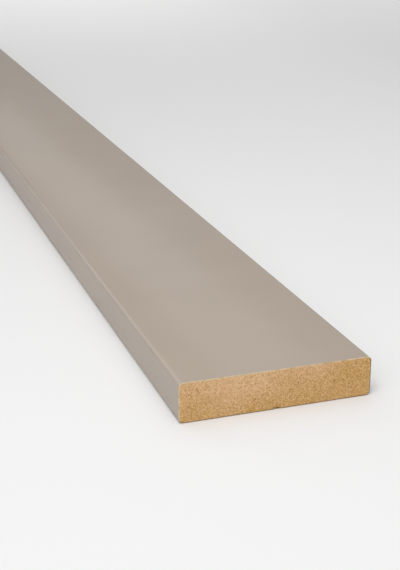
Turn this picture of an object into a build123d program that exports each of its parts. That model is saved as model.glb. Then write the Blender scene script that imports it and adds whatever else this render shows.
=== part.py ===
from build123d import *

import os

# Flat trim strip for cabinets: a bar ripped from fibreboard, its four long edges eased, wrapped in decor foil.
# It lies on its back, as it would on a floor. X runs across the strip, Y along it and Z up through its thickness.
# The origin is the middle of the back, on the plane that the strip lies on.

# Driving dimensions, in millimetres
strip_length = 2210.0  # length that such strips are sold in, sawn square at both ends
strip_width = 60.0  # over the foil
board_thickness = 12.0  # fibreboard that the core is ripped from
arris_radius = 1.2  # easing of the core's long edges, so that the foil can turn them
foil_thickness = 0.3  # decor foil with its glue line
seam_gap = 1.6  # bare core between the foil's two edges, along the middle of the back

# Sizes that follow from them
core_width = strip_width - 2 * foil_thickness
back_of_core = foil_thickness
front_of_core = back_of_core + board_thickness
side_of_core = core_width / 2
side_of_seam = seam_gap / 2


# Core: one bar of fibreboard. Its section is drawn across the strip and runs to both sawn ends.
with BuildPart() as mdf_core:
    with BuildSketch(Plane.XZ) as core_section:
        with Locations((0, back_of_core + board_thickness / 2)):
            RectangleRounded(core_width, board_thickness, arris_radius)
    extrude(amount=strip_length / 2, both=True)
mdf_core.part.label = "mdf_core"


# Foil: one sheet, glued on from the seam, round the core and back to the seam.
# Its inner face is the core's own outline, and its thickness lies outside that.
with BuildPart() as foil_wrap:
    with BuildSketch(Plane.XZ) as foil_section:
        with BuildLine() as wrap_path:
            FilletPolyline(
                (side_of_seam, back_of_core),
                (side_of_core, back_of_core),
                (side_of_core, front_of_core),
                (-side_of_core, front_of_core),
                (-side_of_core, back_of_core),
                (-side_of_seam, back_of_core),
                radius=arris_radius,
            )
            offset(amount=foil_thickness, side=Side.RIGHT)
        make_face()
    extrude(amount=strip_length / 2, both=True)
foil_wrap.part.label = "foil_wrap"


os.makedirs("parts", exist_ok=True)
for piece in (mdf_core.part, foil_wrap.part):
    export_step(piece, f"parts/{piece.label}.step")
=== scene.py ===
import math

import bpy
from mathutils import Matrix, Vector


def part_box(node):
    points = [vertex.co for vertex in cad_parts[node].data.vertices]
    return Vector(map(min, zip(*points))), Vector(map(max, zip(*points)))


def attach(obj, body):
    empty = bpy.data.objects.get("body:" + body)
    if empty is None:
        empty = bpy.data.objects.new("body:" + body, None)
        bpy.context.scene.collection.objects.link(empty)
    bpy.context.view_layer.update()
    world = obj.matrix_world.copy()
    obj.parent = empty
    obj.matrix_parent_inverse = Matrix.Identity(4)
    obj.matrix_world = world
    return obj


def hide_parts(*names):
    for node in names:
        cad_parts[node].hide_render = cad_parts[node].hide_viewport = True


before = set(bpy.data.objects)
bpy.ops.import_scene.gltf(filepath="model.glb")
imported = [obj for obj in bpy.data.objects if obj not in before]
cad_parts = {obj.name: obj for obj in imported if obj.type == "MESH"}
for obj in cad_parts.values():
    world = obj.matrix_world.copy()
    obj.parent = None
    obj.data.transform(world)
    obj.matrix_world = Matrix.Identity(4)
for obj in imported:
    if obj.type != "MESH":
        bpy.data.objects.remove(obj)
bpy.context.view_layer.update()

# Fibreboard core
# One bar of medium-density fibreboard: wood fibres and resin pressed to a hard board, ripped to width, its
# long edges eased by a cutter, then sawn square at both ends, where the bare fibres show.

mm = 0.001
core_low, core_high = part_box("mdf_core")
half_length = core_high.y
core_half_width = core_high.x
core_thickness = core_high.z - core_low.z
arris_radius = 1.2 * mm
arris_step = 15  # degrees from point to point round an eased edge
grid_step = 0.25 * mm  # fine enough for the relief of single fibre clumps
clump_size = 0.85 * mm  # fibre clumps, as they show on a sawn face
fibre_size = 0.27 * mm  # finest torn fibres
saw_relief = 0.08 * mm  # depth between the raised fibres and the pits on a sawn face
tone_patch = 22 * mm  # areas of one kind of fibre
bark_spacing = 2.6 * mm  # cells that may hold one speck of bark each
crease = math.radians(40)  # least turn between two faces that is shaded as a sharp edge


def linear(hex_colour):
    """The linear colour of an sRGB hex value."""
    channels = [int(hex_colour[i : i + 2], 16) / 255 for i in (1, 3, 5)]
    return [c / 12.92 if c <= 0.04045 else ((c + 0.055) / 1.055) ** 2.4 for c in channels] + [1.0]


def add(tree, kind, sockets=None, **settings):
    """Adds a node with its settings; sockets gives an input, by name or number, a value or another node's
    output."""
    node = tree.nodes.new(kind)
    for name, value in settings.items():
        setattr(node, name, value)
    for key, value in (sockets or {}).items():
        if isinstance(value, bpy.types.NodeSocket):
            tree.links.new(value, node.inputs[key])
        else:
            node.inputs[key].default_value = value
    return node


def maths(tree, operation, first, second=0.0, **settings):
    """What a sum on one or two numbers gives."""
    return add(tree, "ShaderNodeMath", {0: first, 1: second}, operation=operation, **settings).outputs[0]


def remap(tree, value, low, high, to_low=0.0, to_high=1.0, **settings):
    """A number taken from the range low to high into another range, and held inside that."""
    sockets = {"Value": value, "From Min": low, "From Max": high, "To Min": to_low, "To Max": to_high}
    return add(tree, "ShaderNodeMapRange", sockets, **settings).outputs[0]


def noise(tree, place, scale, detail, **shape):
    """Cloudy noise from 0 to 1, with about so many lumps to the metre."""
    sockets = {"Vector": place, "Scale": scale, "Detail": detail, **shape}
    return add(tree, "ShaderNodeTexNoise", sockets).outputs["Fac"]


def mix(tree, share, first, second):
    """A mix of two numbers, with this share of the second."""
    return add(tree, "ShaderNodeMix", {"Factor": share, 2: first, 3: second}).outputs[0]


def blend(tree, share, first, second):
    """A mix of two colours, with this share of the second."""
    return add(tree, "ShaderNodeMix", {"Factor": share, 6: first, 7: second}, data_type="RGBA").outputs[2]


def new_material(name):
    """A new material, its node tree and shader, and the place on the object that its patterns follow."""
    material = bpy.data.materials.new(name)
    material.use_nodes = True
    tree = material.node_tree
    return material, tree, tree.nodes["Principled BSDF"], add(tree, "ShaderNodeTexCoord").outputs["Object"]


def sawn_fibreboard():
    """Bare sawn fibreboard: matt, a felt of tan fibres, paler where they stand up and brown in the pits
    between them, with specks of bark. The tone drifts from golden to peach with the fibres that lie there,
    and the drift is placed so that the near end shows a paler patch at its upper left, which is painted
    light. The tone is also a little paler towards the front and darker towards the back, as painted light
    and shade."""
    material, tree, shader, place = new_material("sawn_fibreboard")
    # painted light: this offset puts a paler patch of the drift at the upper left of the near end
    painted_light_patch_start = (-140 * mm, 0.0, -90 * mm)  # picks the stretch of the drift that the ends show
    patch = add(tree, "ShaderNodeVectorMath", {0: place, 1: painted_light_patch_start}, operation="ADD").outputs[0]
    drift = noise(tree, patch, 1 / tone_patch, 1.0)
    height = add(tree, "ShaderNodeSeparateXYZ", {0: place}).outputs["Z"]
    # painted light and shade: the tone is paler towards the front face and darker towards the back on the
    # floor
    painted_light_by_height = remap(tree, height, core_low.z, core_high.z, to_low=-0.055, to_high=0.055)
    fibre_tone_and_painted_light = maths(tree, "ADD", drift, painted_light_by_height)
    golden_to_peach = remap(tree, fibre_tone_and_painted_light, 0.4, 0.68)
    tone = blend(tree, golden_to_peach, linear("#CD9F5B"), linear("#E2B788"))

    clumps = noise(tree, place, 1 / clump_size, 2.0, Roughness=0.55, Distortion=0.6)
    saw_drag = (1.15, 1.0, 0.8)  # draws the pattern out in height, as the saw dragged the fibres
    drawn = add(tree, "ShaderNodeVectorMath", {0: place, 1: saw_drag}, operation="MULTIPLY").outputs[0]
    fibres = noise(tree, drawn, 1 / fibre_size, 2.0, Roughness=0.6, Distortion=0.6)
    felt = mix(tree, 0.2, fibres, clumps)
    pit, level, crest = 0.32, 0.5, 0.68  # heights of the felt
    raised = remap(tree, felt, level, crest, to_high=0.78)
    lighter = blend(tree, raised, tone, linear("#EFD6B2"))
    sunk = remap(tree, felt, level, pit, to_high=0.7)
    darker = blend(tree, sunk, lighter, linear("#8F6531"))

    bark = add(tree, "ShaderNodeTexVoronoi", {"Vector": place, "Scale": 1 / bark_spacing}).outputs
    chance = add(tree, "ShaderNodeSeparateXYZ", {0: bark["Color"]}).outputs["X"]
    chosen = maths(tree, "GREATER_THAN", chance, 0.3)
    speck_rim, speck_heart = 0.14, 0.07  # from a speck's middle, as shares of the spacing
    near = remap(tree, bark["Distance"], speck_rim, speck_heart, to_high=0.6)
    speck = maths(tree, "MULTIPLY", near, chosen)
    colour = blend(tree, speck, darker, linear("#7A5528"))
    tree.links.new(colour, shader.inputs["Base Color"])
    relief = add(tree, "ShaderNodeBump", {"Strength": 0.6, "Distance": 0.06 * mm, "Height": felt})
    tree.links.new(relief.outputs[0], shader.inputs["Normal"])
    shader.inputs["Roughness"].default_value = 0.9
    shader.inputs["Specular IOR Level"].default_value = 0.25
    return material


def core_bar():
    """The bar as a closed mesh: a fine grid on each sawn end and long faces between the two outlines."""
    turn = [math.radians(angle) for angle in range(0, 90, arris_step)]
    lower = [(arris_radius * (1 - math.cos(a)), arris_radius * (1 - math.sin(a))) for a in turn]
    straight = core_thickness - 2 * arris_radius
    steps = round(straight / grid_step)
    rows = lower + [(arris_radius + straight * i / steps, 0.0) for i in range(steps + 1)]
    rows += [(core_thickness - rise, inset) for rise, inset in reversed(lower)]
    columns = round(2 * core_half_width / grid_step)
    points = []
    for y in (-half_length, half_length):
        for rise, inset in rows:
            reach = core_half_width - inset
            points += [(reach * (2 * c / columns - 1), y, core_low.z + rise) for c in range(columns + 1)]
    wide, high = columns + 1, len(rows)
    far = wide * high
    faces = []
    for r in range(high - 1):
        for c in range(columns):
            a = r * wide + c
            faces.append((a, a + 1, a + wide + 1, a + wide))
            faces.append((far + a, far + a + wide, far + a + wide + 1, far + a + 1))
    outline = list(range(wide))
    outline += [r * wide + columns for r in range(1, high)]
    outline += [(high - 1) * wide + c for c in range(columns - 1, -1, -1)]
    outline += [r * wide for r in range(high - 2, 0, -1)]
    for a, b in zip(outline, outline[1:] + outline[:1]):
        faces.append((b, a, far + a, far + b))
    mesh = bpy.data.meshes.new("fibreboard_core")
    mesh.from_pydata(points, [], faces)
    return mesh


def new_tree(name, inputs):
    """An empty Geometry Nodes tree with a geometry input, the named inputs and a geometry output."""
    tree = bpy.data.node_groups.new(name, "GeometryNodeTree")
    tree.interface.new_socket("Geometry", in_out="INPUT", socket_type="NodeSocketGeometry")
    for label, kind in inputs.items():
        tree.interface.new_socket(label, in_out="INPUT", socket_type="NodeSocket" + kind)
    tree.interface.new_socket("Geometry", in_out="OUTPUT", socket_type="NodeSocketGeometry")
    return tree, add(tree, "NodeGroupInput").outputs


def grown(name, base, tree, values):
    """Runs a tree on a base mesh and keeps what it makes as a plain mesh object."""
    piece = bpy.data.objects.new(name, base)
    bpy.context.scene.collection.objects.link(piece)
    modifier = piece.modifiers.new("grow", "NODES")
    modifier.node_group = tree
    for socket in tree.interface.items_tree:
        if socket.in_out == "INPUT" and socket.name in values:
            modifier[socket.identifier] = values[socket.name]
    made = bpy.data.meshes.new_from_object(piece.evaluated_get(bpy.context.evaluated_depsgraph_get()))
    piece.modifiers.remove(modifier)
    piece.data = made
    made.name = name
    if made.materials[0] is None:  # a base mesh without a material leaves an empty slot
        made.materials.pop(index=0)
    return piece


def position(tree):
    """The place of each point, and its distances along X, Y and Z."""
    place = add(tree, "GeometryNodeInputPosition").outputs[0]
    return place, add(tree, "ShaderNodeSeparateXYZ", {0: place}).outputs


def compare(tree, first, operation, second):
    """Whether one number is over or under another."""
    return add(tree, "FunctionNodeCompare", {0: first, 1: second}, operation=operation).outputs[0]


def both(tree, first, second):
    """Whether two things hold at once."""
    return add(tree, "FunctionNodeBooleanMath", {0: first, 1: second}).outputs[0]


def faces_end(tree, facing, least):
    """Whether a normal looks along the strip, one way or the other, by more than this share."""
    lengthwise = add(tree, "ShaderNodeSeparateXYZ", {0: facing}).outputs["Y"]
    return compare(tree, maths(tree, "ABSOLUTE", lengthwise), "GREATER_THAN", least)


def shifted(tree, geometry, chosen, offset):
    """The geometry with its chosen points moved by an offset."""
    sockets = {"Geometry": geometry, "Selection": chosen, "Offset": offset}
    return add(tree, "GeometryNodeSetPosition", sockets).outputs[0]


def drawn_in(tree, geometry, chosen, depth):
    """The geometry with its chosen points moved away from the nearer end of the strip."""
    towards_end = maths(tree, "SIGN", position(tree)[1]["Y"])
    away = maths(tree, "MULTIPLY", maths(tree, "MULTIPLY", towards_end, depth), -1.0)
    offset = add(tree, "ShaderNodeCombineXYZ", {"Y": away}).outputs[0]
    return shifted(tree, geometry, chosen, offset)


def painted(tree, geometry, material, chosen=True):
    """The geometry with a material on its chosen faces."""
    sockets = {"Geometry": geometry, "Selection": chosen, "Material": material}
    return add(tree, "GeometryNodeSetMaterial", sockets).outputs[0]


def sawn_relief():
    """Tree that sinks pits between the fibre clumps of the two sawn ends, below the plane of the saw, and
    breaks a nick out of the lower edge at the seam, where no foil held the fibres."""
    tree, given = new_tree("sawn_relief", {
        "Clump size": "Float",
        "Fibre size": "Float",
        "Relief": "Float",
        "Nick half width": "Float",
        "Nick top": "Float",
        "Nick depth": "Float",
        "Material": "Material",
    })
    place, axes = position(tree)
    facing = add(tree, "GeometryNodeInputNormal").outputs[0]
    sawn = faces_end(tree, facing, 0.9)
    clump_scale = maths(tree, "DIVIDE", 1.0, given["Clump size"])
    fibre_scale = maths(tree, "DIVIDE", 1.0, given["Fibre size"])
    clumps = noise(tree, place, clump_scale, 2.0, Roughness=0.55, Distortion=0.6)
    fibres = noise(tree, place, fibre_scale, 0.0)
    felt = mix(tree, 0.35, clumps, fibres)
    crest, pit = 0.68, 0.3  # heights of the felt that lie in the saw's plane and at full depth
    sunk = remap(tree, felt, crest, pit)
    inward = maths(tree, "MULTIPLY", maths(tree, "MULTIPLY", sunk, given["Relief"]), -1.0)
    offset = add(tree, "ShaderNodeVectorMath", {0: facing, "Scale": inward}, operation="SCALE").outputs[0]
    pitted = shifted(tree, given["Geometry"], sawn, offset)

    across = maths(tree, "ABSOLUTE", axes["X"])
    at_seam = compare(tree, across, "LESS_THAN", given["Nick half width"])
    at_back = compare(tree, axes["Z"], "LESS_THAN", given["Nick top"])
    nicked = drawn_in(tree, pitted, both(tree, at_seam, at_back), given["Nick depth"])
    add(tree, "NodeGroupOutput", {"Geometry": painted(tree, nicked, given["Material"])})
    return tree


def lay_out(mesh, spot):
    """Gives a mesh the map that its looks are baked through; spot tells where a face's corner point lies on
    it."""
    places = mesh.uv_layers.new(name="OFBake").uv
    for face in mesh.polygons:
        for corner in face.loop_indices:
            point = mesh.vertices[mesh.loops[corner].vertex_index]
            places[corner].vector = spot(face, point)


def within(share, margin=0.02):
    """A share of the map's width, with a margin kept clear at either side."""
    return margin + (1 - 2 * margin) * share


core_rows = {  # where each side of the bar starts on the map, and how high it is there
    "near end": (0.02, 0.2),
    "far end": (0.24, 0.2),
    "back": (0.5, 0.18),
    "front": (0.7, 0.18),
    "left": (0.9, 0.04),
    "right": (0.95, 0.04),
}


def core_spot(face, point):
    """Most of the map goes to the sawn ends, which show; the long faces, which the foil hides, share the
    rest."""
    across = (point.co.x / core_half_width + 1) / 2
    along = (point.co.y / half_length + 1) / 2
    rise = (point.co.z - core_low.z) / core_thickness
    if face.area < mm * mm:
        side = "near end" if face.center.y < 0 else "far end"
        width, height = (across if side == "near end" else 1 - across), rise
    elif abs(face.normal.z) > abs(face.normal.x):
        side = "back" if face.normal.z < 0 else "front"
        width, height = along, across
    else:
        side = "left" if face.normal.x < 0 else "right"
        width, height = along, rise
    start, row_height = core_rows[side]
    return within(width), start + row_height * height


fibreboard = sawn_fibreboard()
core = grown("fibreboard_core", core_bar(), sawn_relief(), {
    "Clump size": clump_size,
    "Fibre size": fibre_size,
    "Relief": saw_relief,
    "Nick half width": 0.9 * mm,
    "Nick top": core_low.z + 0.3 * mm,
    "Nick depth": 0.5 * mm,
    "Material": fibreboard,
})
core.data.shade_smooth()
core.data.set_sharp_from_angle(angle=crease)
lay_out(core.data, core_spot)
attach(core, "root")
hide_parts("mdf_core")

# Raised fibres
# Single wood fibres that the saw tore loose from the two ends of the core and left lying on them, still held
# at their roots. They are paler than the face, as bare wood is where no resin coats it.

fibre_tone_size = 0.9 * mm  # from one tone of fibre to the next
fibre_margin = 0.7 * mm  # left bare along the edges of each end


def torn_fibre():
    """Loose wood fibre: dull and pale, from cream to tan from one fibre to the next."""
    material, tree, shader, place = new_material("torn_wood_fibre")
    change = noise(tree, place, 1 / fibre_tone_size, 1.0)
    tan_to_cream = remap(tree, change, 0.35, 0.65)
    colour = blend(tree, tan_to_cream, linear("#C39A60"), linear("#E9CDA2"))
    tree.links.new(colour, shader.inputs["Base Color"])
    shader.inputs["Roughness"].default_value = 0.85
    shader.inputs["Specular IOR Level"].default_value = 0.3
    return material


def drawn_number(tree, low, high, seed):
    """A number between low and high, drawn for each point."""
    return add(tree, "FunctionNodeRandomValue", {2: low, 3: high, "Seed": seed}).outputs[1]


def raised_fibres():
    """Tree that strews short bent fibres over the sawn ends, lying any way round and nearly flat."""
    tree, given = new_tree("raised_fibres", {
        "Half width": "Float",
        "Half height": "Float",
        "Middle": "Float",
        "Fibres per area": "Float",
        "Length": "Float",
        "Thickness": "Float",
        "Seed": "Int",
        "Tilt seed": "Int",
        "Size seed": "Int",
        "Material": "Material",
    })
    facing = add(tree, "GeometryNodeInputNormal").outputs[0]
    axes = position(tree)[1]
    across = maths(tree, "ABSOLUTE", axes["X"])
    in_width = compare(tree, across, "LESS_THAN", given["Half width"])
    off_middle = maths(tree, "ABSOLUTE", maths(tree, "SUBTRACT", axes["Z"], given["Middle"]))
    in_height = compare(tree, off_middle, "LESS_THAN", given["Half height"])
    on_end = both(tree, faces_end(tree, facing, 0.7), both(tree, in_width, in_height))
    unmapped = add(tree, "GeometryNodeRemoveAttribute", {"Geometry": given["Geometry"], "Name": "OFBake"})
    roots = add(tree, "GeometryNodeDistributePointsOnFaces", {
        "Mesh": unmapped.outputs[0],
        "Selection": on_end,
        "Density": given["Fibres per area"],
        "Seed": given["Seed"],
    }).outputs

    bow = add(tree, "GeometryNodeCurveQuadraticBezier", {
        "Resolution": 4,
        "Start": (-0.5, 0.0, 0.0),
        "Middle": (0.1, 0.3, 0.0),
        "End": (0.5, 0.0, 0.0),
    }).outputs[0]
    scale = add(tree, "ShaderNodeCombineXYZ", {axis: given["Length"] for axis in "XYZ"}).outputs[0]
    sized = add(tree, "GeometryNodeTransform", {"Geometry": bow, "Scale": scale}).outputs[0]
    radius = maths(tree, "MULTIPLY", given["Thickness"], 0.5)
    section = add(tree, "GeometryNodeCurvePrimitiveCircle", {"Resolution": 4, "Radius": radius}).outputs[0]
    fibre = add(tree, "GeometryNodeCurveToMesh",
                {"Curve": sized, "Profile Curve": section, "Fill Caps": True}).outputs[0]

    spin = drawn_number(tree, 0.0, 2 * math.pi, given["Seed"])
    tilt = drawn_number(tree, -0.08, 0.08, given["Tilt seed"])
    size = drawn_number(tree, 0.5, 1.4, given["Size seed"])
    angles = add(tree, "ShaderNodeCombineXYZ", {"Y": tilt, "Z": spin}).outputs[0]
    turn = add(tree, "FunctionNodeEulerToRotation", {0: angles}).outputs[0]
    lying = add(tree, "FunctionNodeRotateRotation", {"Rotation": roots["Rotation"], "Rotate By": turn},
                rotation_space="LOCAL").outputs[0]
    strewn = add(tree, "GeometryNodeInstanceOnPoints",
                 {"Points": roots["Points"], "Instance": fibre, "Rotation": lying, "Scale": size}).outputs[0]
    real = add(tree, "GeometryNodeRealizeInstances", {0: strewn}).outputs[0]
    add(tree, "NodeGroupOutput", {"Geometry": painted(tree, real, given["Material"])})
    return tree


def fibre_spot(face, point):
    """The fibres are laid out as they lie on the two ends, one end above the other."""
    across = (point.co.x / core_half_width + 1) / 2
    rise = (point.co.z - core_low.z) / core_thickness
    start, row_height = (0.02 if face.center.y < 0 else 0.52), 0.46
    return within(across), start + row_height * rise


fibres = grown("raised_fibres", core.data, raised_fibres(), {
    "Half width": core_half_width - fibre_margin,
    "Half height": core_thickness / 2 - fibre_margin,
    "Middle": (core_low.z + core_high.z) / 2,
    "Fibres per area": 0.9 / (mm * mm),
    "Length": 0.75 * mm,
    "Thickness": 0.09 * mm,
    "Seed": 5,
    "Tilt seed": 7,
    "Size seed": 11,
    "Material": torn_fibre(),
})
lay_out(fibres.data, fibre_spot)
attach(fibres, "root")

# Decor foil
# One sheet of plain taupe foil with a thin clear lacquer, wrapped hot round the core by rollers and glued.
# Its two edges stop short of each other along the middle of the back, and the saw cut it with the core.

foil_low, foil_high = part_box("foil_wrap")
foil_thickness = core_low.z - foil_low.z
seam_gap = 1.6 * mm
wrap_step = 0.2 * mm  # spacing of the points round the section
cloud_size = 35 * mm  # faint unevenness of the print
emboss_size = 0.35 * mm
scuff_size = 1.6 * mm  # marks of the saw along the cut edge
weld = 0.01 * mm  # points nearer than this are one point
cut_zone = 0.1 * mm  # within this of the saw's plane a point is on the cut edge
bands = 12  # lengths that the foil is laid out in on its map
bands_abreast = 4


def matt_decor_foil():
    """Matt taupe foil under a thin satin lacquer: even colour with a faint cloudiness from the print, a fine
    grained emboss, and a soft sheen that shows at low angles and along the rounded edges."""
    material, tree, shader, place = new_material("matt_decor_foil")
    cloud = remap(tree, noise(tree, place, 1 / cloud_size, 2.0), 0.3, 0.7)
    colour = blend(tree, cloud, linear("#A49688"), linear("#A7998B"))
    tree.links.new(colour, shader.inputs["Base Color"])
    grain = noise(tree, place, 1 / emboss_size, 2.0)
    gloss = remap(tree, grain, 0.3, 0.7, to_low=0.4, to_high=0.48)
    tree.links.new(gloss, shader.inputs["Roughness"])
    emboss = add(tree, "ShaderNodeBump", {"Strength": 0.15, "Distance": 0.02 * mm, "Height": grain})
    tree.links.new(emboss.outputs[0], shader.inputs["Normal"])
    shader.inputs["Specular IOR Level"].default_value = 0.38
    shader.inputs["Coat Weight"].default_value = 0.25
    shader.inputs["Coat Roughness"].default_value = 0.1
    return material


def cut_foil_edge():
    """The sawn edge of the foil: its pale paper core and the cream glue line under it, scuffed by the saw.
    Where the saw came out it tore the foil, and the ragged edge there, on the right and the back, is dull
    with dust and painted darker for shade."""
    material, tree, shader, place = new_material("cut_foil_edge")
    worn = remap(tree, noise(tree, place, 1 / scuff_size, 3.0), 0.45, 0.7)
    clean = blend(tree, worn, linear("#D6BD98"), linear("#B99A6E"))
    # painted shade: the torn edge on the right and the back is darkened by its "torn" share, with some dust
    torn = add(tree, "ShaderNodeAttribute", attribute_name="torn").outputs["Fac"]
    colour = blend(tree, torn, clean, linear("#8A7150"))
    tree.links.new(colour, shader.inputs["Base Color"])
    shader.inputs["Roughness"].default_value = 0.75
    return material


def foil_path():
    """The core's outline as corner points, from one edge of the foil round to the other."""
    edge = seam_gap / 2
    side, back, front = core_half_width, core_low.z, core_high.z
    corners = [(edge, back), (side, back), (side, front), (-side, front), (-side, back), (-edge, back)]
    mesh = bpy.data.meshes.new("foil_path")
    mesh.from_pydata([(x, 0.0, z) for x, z in corners], [(i, i + 1) for i in range(len(corners) - 1)], [])
    return mesh


def foil_sheet():
    """Tree that wraps a sheet along the outline, gives it its thickness, and chips its sawn edges."""
    tree, given = new_tree("foil_sheet", {
        "Half length": "Float",
        "Arris radius": "Float",
        "Thickness": "Float",
        "Step": "Float",
        "Bands": "Int",
        "Chip size": "Float",
        "Chip depth": "Float",
        "Eased edge": "Float",
        "Back tear": "Float",
        "Side tear": "Float",
        "Tear top": "Float",
        "Tear side": "Float",
        "Core side": "Float",
        "Skin": "Material",
        "Cut edge": "Material",
    })
    outline = add(tree, "GeometryNodeMeshToCurve", {0: given["Geometry"]}).outputs[0]
    eased = add(tree, "GeometryNodeFilletCurve",
                {"Curve": outline, "Count": 24, "Radius": given["Arris radius"]}, mode="POLY").outputs[0]
    even = add(tree, "GeometryNodeResampleCurve", {"Curve": eased, "Length": given["Step"]}, mode="LENGTH")
    way_round = add(tree, "GeometryNodeSplineParameter").outputs["Length"]
    marked = add(tree, "GeometryNodeStoreNamedAttribute",
                 {"Geometry": even.outputs[0], "Name": "around", "Value": way_round}).outputs[0]
    near_end = add(tree, "ShaderNodeCombineXYZ", {"X": maths(tree, "MULTIPLY", given["Half length"], -1.0)})
    far_end = add(tree, "ShaderNodeCombineXYZ", {"X": given["Half length"]})
    ruler = add(tree, "GeometryNodeCurvePrimitiveLine",
                {"Start": near_end.outputs[0], "End": far_end.outputs[0]}).outputs[0]
    stations = maths(tree, "ADD", given["Bands"], 1.0)
    ruled = add(tree, "GeometryNodeResampleCurve", {"Curve": ruler, "Count": stations}).outputs[0]
    sheet = add(tree, "GeometryNodeCurveToMesh", {"Curve": marked, "Profile Curve": ruled}).outputs[0]
    outward = add(tree, "GeometryNodeFlipFaces", {0: sheet}).outputs[0]
    skin = add(tree, "GeometryNodeExtrudeMesh",
               {"Mesh": outward, "Offset Scale": given["Thickness"], "Individual": False}).outputs
    outside = add(tree, "GeometryNodeStoreNamedAttribute",
                  {"Geometry": skin["Mesh"], "Name": "outer", "Value": skin["Top"]}, data_type="BOOLEAN")
    joined = add(tree, "GeometryNodeJoinGeometry", {0: outside.outputs[0]})
    tree.links.new(sheet, joined.inputs[0])
    closed = add(tree, "GeometryNodeMergeByDistance", {"Geometry": joined.outputs[0], "Distance": weld})

    place, axes = position(tree)
    reach = maths(tree, "ABSOLUTE", axes["Y"])
    at_cut = compare(tree, reach, "GREATER_THAN", maths(tree, "SUBTRACT", given["Half length"], cut_zone))
    was_outer = add(tree, "GeometryNodeInputNamedAttribute", {"Name": "outer"}, data_type="BOOLEAN")
    rim = both(tree, at_cut, was_outer.outputs[0])
    breaks = noise(tree, place, maths(tree, "DIVIDE", 1.0, given["Chip size"]), 2.0)
    chip = remap(tree, breaks, 0.5, 0.75, to_high=given["Chip depth"])
    worn = maths(tree, "ADD", chip, given["Eased edge"])

    low = remap(tree, axes["Z"], given["Tear top"], given["Thickness"])
    right = remap(tree, axes["X"], given["Tear side"], given["Core side"])
    exit_side = maths(tree, "MAXIMUM", low, right)
    # the exit side is kept as "torn" for the cut edge's colour, which paints it darker for shade as well as
    # dust
    noted = add(tree, "GeometryNodeStoreNamedAttribute",
                {"Geometry": closed.outputs[0], "Name": "torn", "Value": exit_side}).outputs[0]
    deepest = mix(tree, low, given["Side tear"], given["Back tear"])
    ragged = remap(tree, breaks, 0.3, 0.7, to_low=0.6, to_high=1.0)
    torn = maths(tree, "MULTIPLY", maths(tree, "MULTIPLY", ragged, deepest), exit_side)
    chipped = drawn_in(tree, noted, rim, worn)
    frayed = drawn_in(tree, chipped, at_cut, torn)

    facing = add(tree, "GeometryNodeInputNormal").outputs[0]
    skinned = painted(tree, frayed, given["Skin"])
    done = painted(tree, skinned, given["Cut edge"], faces_end(tree, facing, 0.3))
    add(tree, "NodeGroupOutput", {"Geometry": done})
    return tree


foil = grown("decor_foil", foil_path(), foil_sheet(), {
    "Half length": foil_high.y,
    "Arris radius": arris_radius,
    "Thickness": foil_thickness,
    "Step": wrap_step,
    "Bands": bands,
    "Chip size": 1.1 * mm,
    "Chip depth": 0.12 * mm,
    "Eased edge": 0.14 * mm,
    "Back tear": 0.25 * mm,
    "Side tear": 0.4 * mm,
    "Tear top": foil_thickness + 0.5 * mm,
    "Tear side": core_half_width - 0.5 * mm,
    "Core side": core_half_width,
    "Skin": matt_decor_foil(),
    "Cut edge": cut_foil_edge(),
})
foil.data.shade_smooth()
foil.data.set_sharp_from_angle(angle=crease)
around = foil.data.attributes["around"].data
outer = foil.data.attributes["outer"].data
wrap_length = max(point.value for point in around)
cut_slot = 1  # the cut edge's place among the foil's two materials
outside_start, outside_row = 0.08, 0.3  # where the outside's first row of bands starts, and a row's height
foil_rows = {  # where each strip below it starts on the map, and how high it is there
    "near cut": (0.005, 0.01),
    "far cut": (0.02, 0.01),
    "inside": (0.04, 0.015),
    "first seam edge": (0.06, 0.005),
    "last seam edge": (0.07, 0.005),
}


def foil_spot(face, point):
    """The outside lies on the map in bands of the length, three rows of four, and the sawn edges, the hidden
    inside and the seam's edges lie in narrow strips below it."""
    turn = around[point.index].value / wrap_length
    along = (point.co.y / foil_high.y + 1) / 2
    outer_corners = sum(outer[corner].value for corner in face.vertices)
    lift = 1 if outer[point.index].value else 0
    if outer_corners == len(face.vertices):
        band = int((face.center.y / foil_high.y + 1) / 2 * bands)
        row, column = divmod(band, bands_abreast)
        width = (column + within(along * bands - band)) / bands_abreast
        return width, outside_start + outside_row * (row + within(turn, margin=0.01))
    if outer_corners == 0:
        side, width, height = "inside", along, turn
    elif face.material_index == cut_slot:
        side, width, height = ("near cut" if face.center.y < 0 else "far cut"), turn, lift
    else:
        side, width, height = ("first seam edge" if turn < 0.5 else "last seam edge"), along, lift
    start, row_height = foil_rows[side]
    return within(width), start + row_height * height


lay_out(foil.data, foil_spot)
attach(foil, "root")
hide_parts("foil_wrap")

# Glue in the seam
# Hot-melt glue that the rollers pressed out along the foil's two edges. It set in the gap between them as a
# thin uneven bead, a little below the foil's face, and the saw broke it off short of the ends. Its dark
# brown is partly painted shade, for the shadowed nick where the seam meets each sawn end.

glue_setback = 0.25 * mm
glue_width = seam_gap - 0.04 * mm
dust_size = 2.5 * mm  # clouds of dust in the glue
wave_length = 25 * mm  # from swell to swell along the bead
glue_root = core_low.z - 0.02 * mm  # above this the bead is held by the core


def glue_and_painted_shade():
    """Set hot-melt glue: amber to tan, a little waxy, clouded where dust of the board stuck to it. Its
    dark brown is partly painted shade for the nick at each sawn end.
    """
    material, tree, shader, place = new_material("glue_and_painted_shade")
    dust = noise(tree, place, 1 / dust_size, 3.0)
    clear, clouded = 0.4, 0.65  # shares of dust
    # painted shade: the dark brown stands for the shade in the nick at each sawn end
    colour = blend(tree, remap(tree, dust, clear, clouded), linear("#7C5F3A"), linear("#94764C"))
    tree.links.new(colour, shader.inputs["Base Color"])
    shine = remap(tree, dust, clear, clouded, to_low=0.35, to_high=0.7)
    tree.links.new(shine, shader.inputs["Roughness"])
    return material


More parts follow.
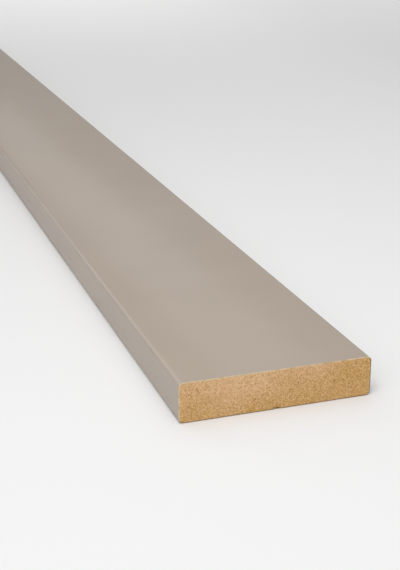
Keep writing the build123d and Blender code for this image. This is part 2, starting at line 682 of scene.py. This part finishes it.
def glue_line():
    """The bead's path along the middle of the back, on the core."""
    mesh = bpy.data.meshes.new("glue_line")
    reach = half_length - glue_setback
    mesh.from_pydata([(0.0, -reach, core_low.z), (0.0, reach, core_low.z)], [(0, 1)], [])
    return mesh


def glue_bead():
    """Tree that sweeps a low round bead along its path and lets its height wander."""
    tree, given = new_tree("glue_bead", {
        "Width": "Float",
        "Height": "Float",
        "Wander": "Float",
        "Step": "Float",
        "Material": "Material",
    })
    path = add(tree, "GeometryNodeMeshToCurve", {0: given["Geometry"]}).outputs[0]
    even = add(tree, "GeometryNodeResampleCurve", {"Curve": path, "Length": given["Step"]}, mode="LENGTH")
    side = maths(tree, "MULTIPLY", given["Width"], 0.5)
    other = maths(tree, "MULTIPLY", given["Width"], -0.5)
    belly = maths(tree, "MULTIPLY", given["Height"], 4 / 3)
    arch = add(tree, "GeometryNodeCurvePrimitiveBezierSegment", {
        "Resolution": 10,
        "Start": add(tree, "ShaderNodeCombineXYZ", {"X": side}).outputs[0],
        "Start Handle": add(tree, "ShaderNodeCombineXYZ", {"X": side, "Y": belly}).outputs[0],
        "End Handle": add(tree, "ShaderNodeCombineXYZ", {"X": other, "Y": belly}).outputs[0],
        "End": add(tree, "ShaderNodeCombineXYZ", {"X": other}).outputs[0],
    }).outputs[0]
    section = add(tree, "GeometryNodeSetSplineCyclic", {"Geometry": arch, "Cyclic": True}).outputs[0]
    bead = add(tree, "GeometryNodeCurveToMesh",
               {"Curve": even.outputs[0], "Profile Curve": section, "Fill Caps": True}).outputs[0]
    place, axes = position(tree)
    free = compare(tree, axes["Z"], "LESS_THAN", glue_root)
    swing = maths(tree, "SUBTRACT", noise(tree, place, 1 / wave_length, 1.0), 0.5)
    rise = maths(tree, "MULTIPLY", swing, given["Wander"])
    offset = add(tree, "ShaderNodeCombineXYZ", {"Z": rise}).outputs[0]
    uneven = shifted(tree, bead, free, offset)
    add(tree, "NodeGroupOutput", {"Geometry": painted(tree, uneven, given["Material"])})
    return tree


def glue_spot(face, point):
    """The bead lies on the map in bands of the length, one above the other, its flat top beside its round
    face. Its two ends lie in the lower right corner."""
    across = point.co.x / glue_width + 0.5
    if abs(face.normal.y) > 0.5:
        start, map_per_metre = (0.02 if face.center.y < 0 else 0.04), 20
        return 0.96 + 0.03 * across, start + map_per_metre * (core_low.z - point.co.z)
    band = int((face.center.y / half_length + 1) / 2 * bands)
    along = (point.co.y / half_length + 1) / 2 * bands - band
    start, row_height = (0.75, 0.2) if face.normal.z > 0.5 else (0.05, 0.6)
    return 0.06 + 0.86 * along, (band + start + row_height * across) / bands


glue = grown("seam_glue", glue_line(), glue_bead(), {
    "Width": glue_width,
    "Height": 0.22 * mm,
    "Wander": 0.12 * mm,
    "Step": 8 * mm,
    "Material": glue_and_painted_shade(),
})
lay_out(glue.data, glue_spot)
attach(glue, "root")

# Studio
# A pale seamless floor, soft light from all round and a wide softbox over the whole strip. Two small
# softboxes light its near end, and a large one its middle and far part. A strip light and a lamp at the
# back give the lacquer on the foil its sheen.

picture_height = 570  # pixels of the picture's long side
focal_length = 1137.8  # in the same pixels
sensor = 36.0
eye = (-117.62 * mm, -half_length - 276.15 * mm, 147.26 * mm)
look_down = math.radians(19.97)
look_right = math.radians(18.79)
near_end = (0.0, -half_length, 0.0)
floor_reach = 200.0  # far enough for its edge to lie at the horizon
lit_floor = 0.3  # from the strip's middle line to where the floor begins to fade
plain_floor = 0.7  # from the same line to where it is all one grey


def pale_floor():
    """Matt pale floor paint that takes the strip's shadow. Away from the strip the eye, and any mirror, sees
    one plain grey instead, so that the floor looks even where the lamps don't reach."""
    material, tree, shader, place = new_material("pale_floor")
    shader.inputs["Base Color"].default_value = linear("#E7E7E7")
    shader.inputs["Roughness"].default_value = 0.9
    shader.inputs["Specular IOR Level"].default_value = 0.1
    axes = add(tree, "ShaderNodeSeparateXYZ", {0: place}).outputs
    past_end = maths(tree, "SUBTRACT", maths(tree, "ABSOLUTE", axes["Y"]), half_length)
    beyond = maths(tree, "MAXIMUM", past_end, 0.0)
    offset = add(tree, "ShaderNodeCombineXYZ", {"X": axes["X"], "Y": beyond}).outputs[0]
    away = add(tree, "ShaderNodeVectorMath", {0: offset}, operation="LENGTH").outputs["Value"]
    fade = remap(tree, away, lit_floor, plain_floor, interpolation_type="SMOOTHSTEP")
    ray = add(tree, "ShaderNodeLightPath").outputs
    mirrored = maths(tree, "ADD", ray["Is Glossy Ray"], ray["Is Transmission Ray"])
    looking = maths(tree, "ADD", ray["Is Camera Ray"], mirrored, use_clamp=True)
    shown = maths(tree, "MULTIPLY", looking, fade)
    grey = add(tree, "ShaderNodeEmission", {"Color": linear("#DCDCDC")}).outputs[0]
    seen = add(tree, "ShaderNodeMixShader", {0: shown, 1: shader.outputs[0], 2: grey}).outputs[0]
    tree.links.new(seen, tree.nodes["Material Output"].inputs["Surface"])
    material.cycles.emission_sampling = "NONE"
    return material


floor_mesh = bpy.data.meshes.new("floor")
floor_corners = [(x * floor_reach, y * floor_reach, 0.0) for x, y in ((-1, -1), (1, -1), (1, 1), (-1, 1))]
floor_mesh.from_pydata(floor_corners, [], [(0, 1, 2, 3)])
floor_mesh.materials.append(pale_floor())
floor = bpy.data.objects.new("floor", floor_mesh)
bpy.context.scene.collection.objects.link(floor)

world = bpy.data.worlds.new("soft_room")
world.use_nodes = True
room_light = world.node_tree.nodes["Background"].inputs
room_light["Color"].default_value = (1.0, 1.0, 1.0, 1.0)
room_light["Strength"].default_value = 0.3
bpy.context.scene.world = world


def softbox(name, size, place, aim, watts, spread=180, turn=0):
    """A soft lamp of some width and length that looks from its place to its aim. Its light spreads by so many
    degrees, and its length lies along the strip or is turned from it by some degrees."""
    data = bpy.data.lights.new(name, "AREA")
    data.shape = "RECTANGLE"
    data.size, data.size_y = size
    data.energy = watts
    data.spread = math.radians(spread)
    lamp = bpy.data.objects.new(name, data)
    bpy.context.scene.collection.objects.link(lamp)
    lamp.location = place
    lamp.rotation_euler = (Vector(aim) - Vector(place)).to_track_quat("-Z", "Y").to_euler()
    lamp.rotation_euler.z += math.radians(turn)
    lamp.visible_camera = False


softbox("overhead_softbox", size=(1.6, 2.6), place=(0.0, 0.05, 1.3), aim=(0.0, 0.05, 0.0), watts=10.0)
softbox("end_softbox", size=(0.6, 0.6), place=(-0.16, -half_length - 0.25, 0.7), aim=near_end,
        watts=1.26, spread=100)
softbox("left_softbox", size=(0.6, 0.6), place=(-0.6, -half_length - 0.45, 0.5), aim=near_end,
        watts=0.5, spread=100)
softbox("strip_light", size=(0.09, 1.7), place=(0.2245, -0.05, 0.3), aim=(0.2245, -0.05, 0.0),
        watts=0.38, turn=2.6)
softbox("back_softbox", size=(1.0, 1.0), place=(-1.0, 1.2, 0.8), aim=(-0.05, -1.0, 0.0),
        watts=0.3, spread=40)
softbox("far_softbox", size=(1.6, 2.5), place=(0.0, 1.0, 1.0), aim=(0.0, 1.0, 0.0),
        watts=3.8, spread=60)

camera_data = bpy.data.cameras.new("camera")
camera_data.sensor_width = sensor
camera_data.lens = focal_length * sensor / picture_height
camera_data.clip_start = 0.01
camera = bpy.data.objects.new("camera", camera_data)
bpy.context.scene.collection.objects.link(camera)
camera.location = eye
camera.rotation_euler = (math.pi / 2 - look_down, 0.0, -look_right)
bpy.context.scene.camera = camera
bpy.context.scene.view_settings.view_transform = "Standard"
